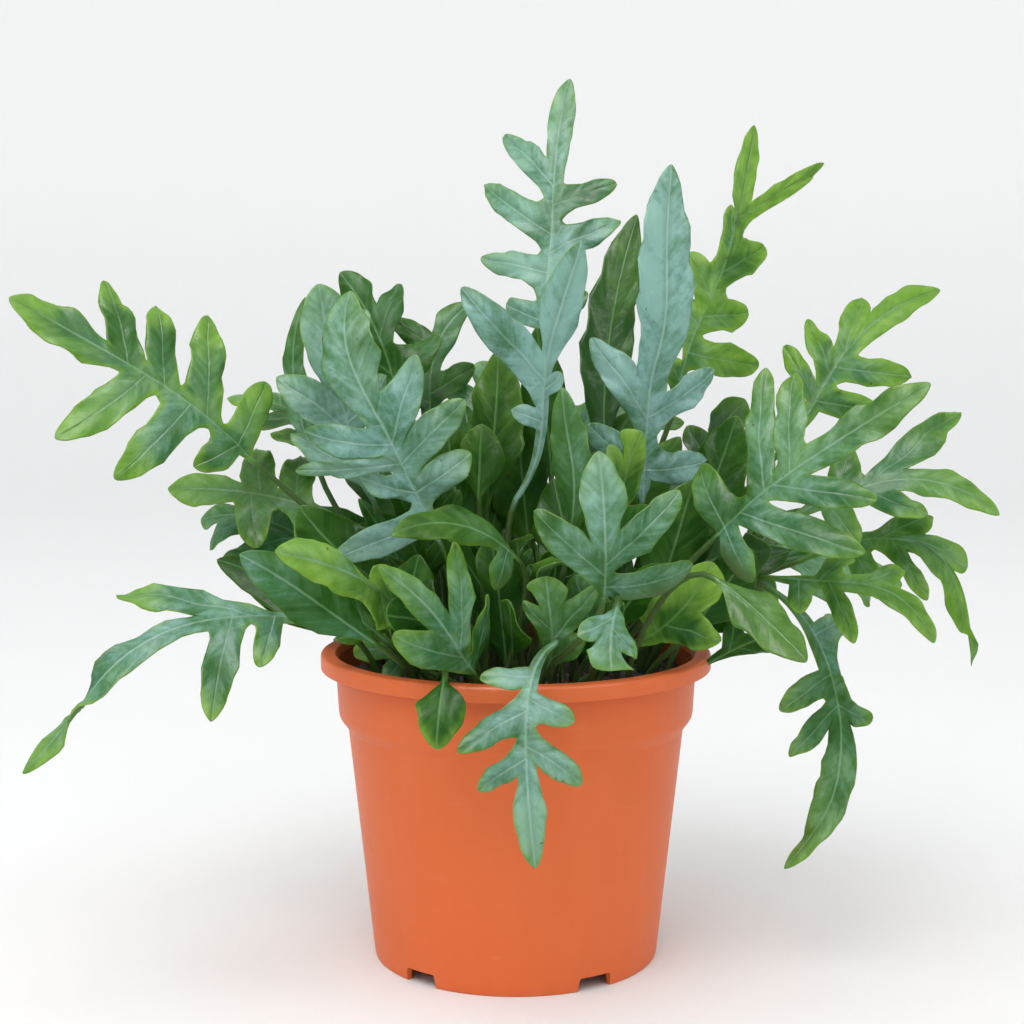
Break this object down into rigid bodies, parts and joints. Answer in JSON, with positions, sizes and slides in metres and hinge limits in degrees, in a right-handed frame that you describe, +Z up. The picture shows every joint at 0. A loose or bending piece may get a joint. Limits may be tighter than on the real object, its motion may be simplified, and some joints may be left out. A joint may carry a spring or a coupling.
{
  "type": "blue star fern in a nursery pot",
  "caption": "Potted blue star fern: lobed, wavy fronds on thin stipes arch out of dark peat in a round orange plastic nursery pot with a turned-over rim.",
  "frame": {"origin": "on the pot's axis, at the height of the surface that the pot stands on", "axes": "+Z up along the pot's axis, -Y towards the front, where the fronds that droop over the rim hang, +X to the front view's right"},
  "size_m": [0.4513, 0.2941, 0.4332],
  "materials": {
    "pot_plastic": "terracotta-orange moulded plastic, satin",
    "peat": "dark, loose, fibrous peat",
    "leaf_blue": "leathery leaf with a blue-green bloom, satin",
    "leaf_green": "leathery green leaf with yellow-green margins, satin"
  },
  "bodies": {
    "root": {"frond_back_high_1": "leaf_blue", "frond_back_high_2": "leaf_blue", "frond_back_low_1": "leaf_blue", "frond_back_low_2": "leaf_blue", "frond_back_low_3": "leaf_blue", "frond_back_low_4": "leaf_blue", "frond_back_low_5": "leaf_blue", "frond_back_low_6": "leaf_blue", "frond_back_mid_1": "leaf_blue", "frond_back_mid_2": "leaf_blue", "frond_back_mid_3": "leaf_blue", "frond_back_mid_4": "leaf_blue", "frond_back_mid_5": "leaf_blue", "frond_back_right_inner": "leaf_blue", "frond_centre_bright": "leaf_green", "frond_centre_forked": "leaf_blue", "frond_centre_left_tall": "leaf_blue", "frond_centre_narrow": "leaf_blue", "frond_centre_plain": "leaf_green", "frond_front_arched": "leaf_green", "frond_front_drooping": "leaf_blue", "frond_front_folded": "leaf_green", "frond_front_left_crinkled": "leaf_green", "frond_front_left_plain": "leaf_green", "frond_front_right_bright": "leaf_green", "frond_front_right_plain": "leaf_blue", "frond_front_rim": "leaf_green", "frond_front_rim_plain": "leaf_green", "frond_front_small": "leaf_green", "frond_front_star": "leaf_blue", "frond_inner_behind": "leaf_green", "frond_inner_centre": "leaf_green", "frond_inner_centre_left": "leaf_green", "frond_inner_left": "leaf_green", "frond_inner_right": "leaf_green", "frond_inner_right_behind": "leaf_green", "frond_left_behind": "leaf_blue", "frond_left_drooping": "leaf_blue", "frond_left_fan": "leaf_blue", "frond_left_narrow": "leaf_blue", "frond_left_of_centre_broad": "leaf_blue", "frond_low_centre": "leaf_green", "frond_low_left": "leaf_green", "frond_low_right": "leaf_green", "frond_low_right_of_centre": "leaf_green", "frond_right_broad": "leaf_blue", "frond_right_far": "leaf_blue", "frond_right_hanging": "leaf_blue", "frond_right_high": "leaf_green", "frond_right_low": "leaf_green", "frond_right_of_centre_tall": "leaf_blue", "frond_right_ragged": "leaf_green", "frond_rim_left_small": "leaf_green", "frond_top": "leaf_blue", "frond_top_plain": "leaf_blue", "frond_upper_left_dark": "leaf_green", "frond_upper_left_thin": "leaf_blue", "frond_upper_right": "leaf_green", "pot": "pot_plastic", "soil": "peat"}
  },
  "joints": []
}
